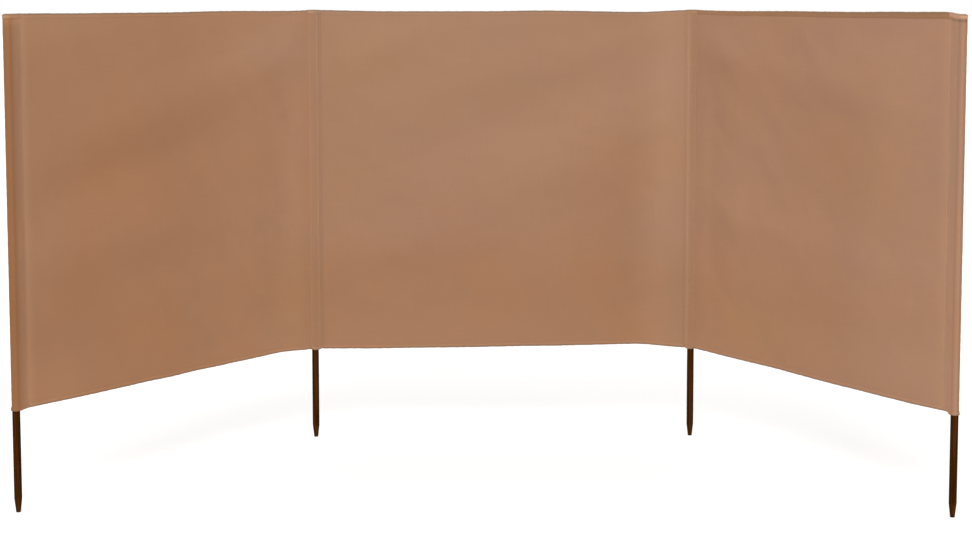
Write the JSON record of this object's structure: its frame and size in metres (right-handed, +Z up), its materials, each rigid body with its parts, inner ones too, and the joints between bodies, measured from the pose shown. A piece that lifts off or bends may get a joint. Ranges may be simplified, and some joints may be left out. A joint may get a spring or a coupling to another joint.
{
  "type": "beach windbreak",
  "caption": "Long low cloth screen on round wooden poles with pointed feet, its outer bays turned forward as wings to shelter a spot on the beach.",
  "frame": {"origin": "middle of the flat foot of the left middle pole", "axes": "+X along the centre bay, from the left middle pole to the right middle pole; +Y to the back, away from the sheltered side; +Z up along the poles"},
  "size_m": [2.8633, 1.1756, 1.5143],
  "materials": {
    "pole": "round softwood, dark brown stain with a low sheen",
    "cloth": "plain woven cloth, matt",
    "pocket": "plain woven cloth, doubled and stitched",
    "hem": "plain woven cloth, folded and stitched"
  },
  "bodies": {
    "centre": {"left_middle_pole": "pole", "left_middle_pocket": "pocket", "left_middle_pocket_top": "pocket", "left_middle_pocket_cuff": "pocket", "left_middle_centre_flap": "pocket", "right_middle_pole": "pole", "right_middle_pocket": "pocket", "right_middle_pocket_top": "pocket", "right_middle_pocket_cuff": "pocket", "right_middle_centre_flap": "pocket", "centre_panel": "cloth", "centre_top_hem": "hem", "centre_bottom_hem": "hem"},
    "left_wing": {"left_panel": "cloth", "left_top_hem": "hem", "left_bottom_hem": "hem", "left_middle_wing_flap": "pocket", "left_end_pole": "pole", "left_end_pocket": "pocket", "left_end_pocket_top": "pocket", "left_end_pocket_cuff": "pocket", "left_end_flap": "pocket"},
    "right_wing": {"right_panel": "cloth", "right_top_hem": "hem", "right_bottom_hem": "hem", "right_middle_wing_flap": "pocket", "right_end_pole": "pole", "right_end_pocket": "pocket", "right_end_pocket_top": "pocket", "right_end_pocket_cuff": "pocket", "right_end_flap": "pocket"}
  },
  "joints": [
    {"name": "left_fold", "type": "hinge", "parent": "centre", "child": "left_wing", "pos_m": [0, 0, 0], "axis": [0, 0, 1], "range_deg": [-169.7, 66.3]},
    {"name": "right_fold", "type": "hinge", "parent": "centre", "child": "right_wing", "pos_m": [1.33333, 0, 0], "axis": [0, 0, -1], "range_deg": [-177.5, 58.5]}
  ]
}
